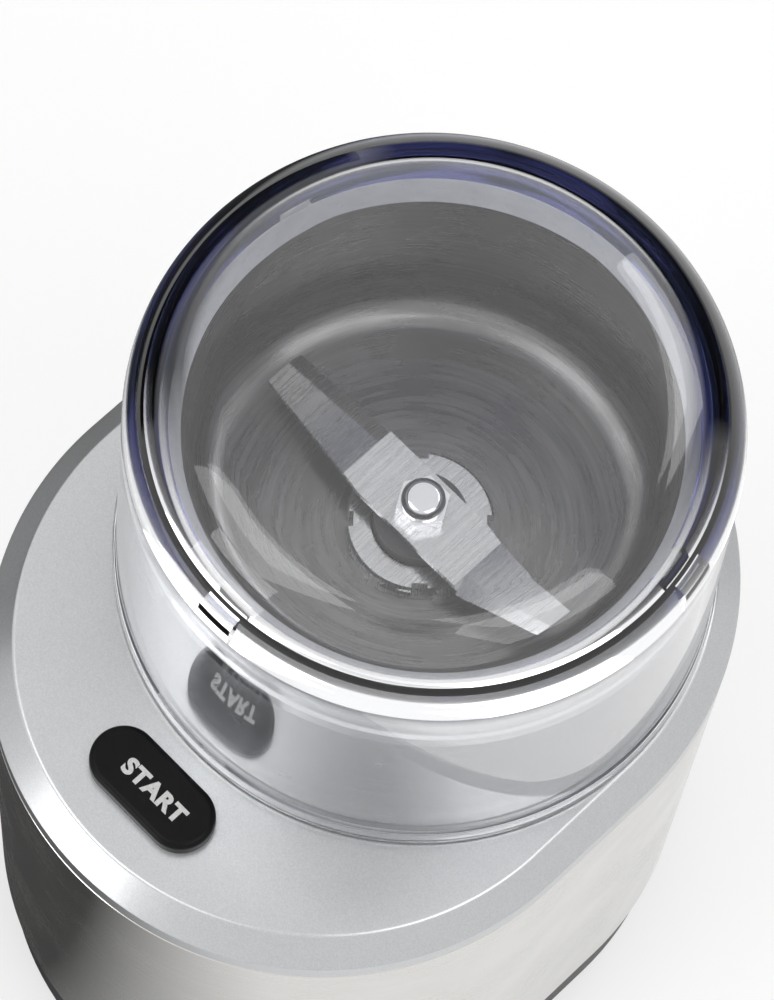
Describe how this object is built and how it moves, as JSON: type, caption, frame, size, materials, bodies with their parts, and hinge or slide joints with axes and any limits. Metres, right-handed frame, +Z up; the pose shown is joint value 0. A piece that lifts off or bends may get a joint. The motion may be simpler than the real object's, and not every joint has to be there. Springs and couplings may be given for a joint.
{
  "type": "electric spice grinder",
  "caption": "Electric spice grinder: racetrack-shaped motor base with start button, lift-out steel bowl with its own blade, and deep clear lid.",
  "frame": {"origin": "on the resting surface, under the middle of the body", "axes": "+Z up along the upright motor and bowl axis, which stands 12.5 mm towards +Y; the start button is towards -Y; +X is to the right seen from the front"},
  "size_m": [0.126, 0.151, 0.2188],
  "materials": {
    "silver_deck": "satin silver paint with a fine sparkle",
    "stainless": "brushed",
    "polished": "polished",
    "grey_plastic": "smooth",
    "dark_plastic": "fine grain",
    "black_button": "satin gloss",
    "clear_lid": "clear, blue-violet where thick",
    "rubber": "matte",
    "bright_steel": "ground",
    "alloy": "cast",
    "iron": "laminated",
    "copper": "enamelled wire",
    "bronze": "sintered",
    "carbon": "matte",
    "green_board": "lacquered"
  },
  "bodies": {
    "housing": {"rubber_feet": "rubber", "plinth_ring": "dark_plastic", "base_plate": "dark_plastic", "base_screws": "bright_steel", "cord_gland": "rubber", "terminal_block": "grey_plastic", "suppression_capacitor": "grey_plastic", "inner_housing": "dark_plastic", "deck_screws": "bright_steel", "steel_sleeve": "stainless", "deck_cover": "silver_deck", "deck_seal": "rubber", "upper_bracket": "alloy", "lower_bracket": "alloy", "clamp_bolts": "bright_steel", "upper_bearing": "bright_steel", "lower_bearing": "bright_steel", "motor_dampers": "rubber", "motor_screws": "bright_steel", "stator_core": "iron", "field_coils": "copper", "brush_holders": "dark_plastic", "carbon_brushes": "carbon", "brush_springs": "bright_steel", "switch_guide": "dark_plastic", "switch_board": "green_board", "board_screws": "bright_steel", "start_switch": "dark_plastic", "interlock_switch": "dark_plastic", "button_spring": "bright_steel", "interlock_spring": "bright_steel"},
    "rotor": {"rotor_shaft": "bright_steel", "armature_core": "iron", "armature_windings": "copper", "commutator": "copper", "cooling_fan": "dark_plastic", "drive_coupling": "dark_plastic"},
    "bowl": {"bowl_cup": "stainless", "bowl_rim": "grey_plastic", "rim_band": "polished", "bowl_sleeve": "stainless", "bowl_base": "dark_plastic", "hub_nut": "bright_steel", "blade_bush": "bronze", "blade_seal": "rubber"},
    "blade_assembly": {"blade_shaft": "bright_steel", "blade": "bright_steel", "blade_nut": "polished", "driven_coupling": "dark_plastic", "thrust_washer": "bright_steel"},
    "lid": {"lid_shell": "clear_lid"},
    "button": {"start_button": "black_button"},
    "lid_pin": {"interlock_pin": "bright_steel"}
  },
  "joints": [
    {"name": "rotor_spin", "type": "hinge", "parent": "housing", "child": "rotor", "pos_m": [0, 0.0125, 0.072], "axis": [0, 0, 1], "continuous": true},
    {"name": "bowl_lift", "type": "slide", "parent": "housing", "child": "bowl", "axis": [0, 0, 1], "range_m": [0, 0.06]},
    {"name": "blade_spin", "type": "hinge", "parent": "bowl", "child": "blade_assembly", "pos_m": [0, 0.0125, 0.158], "axis": [0, 0, 1], "continuous": true},
    {"name": "lid_lift", "type": "slide", "parent": "bowl", "child": "lid", "axis": [0, 0, 1], "range_m": [0, 0.09]},
    {"name": "start_button_press", "type": "slide", "parent": "housing", "child": "button", "axis": [0, 0, -1], "range_m": [0, 0.0025], "stiffness_N_per_m": 400, "springref_m": -0.003, "deforming": ["button_spring"]},
    {"name": "lid_pin_slide", "type": "slide", "parent": "housing", "child": "lid_pin", "axis": [0, 0, 1], "range_m": [0, 0.002], "deforming": ["interlock_spring"]}
  ],
  "couplings": [
    {"joint": "blade_spin", "follows": "rotor_spin", "ratio": 1},
    {"joint": "lid_pin_slide", "follows": "lid_lift", "ratio": 0.0222}
  ]
}
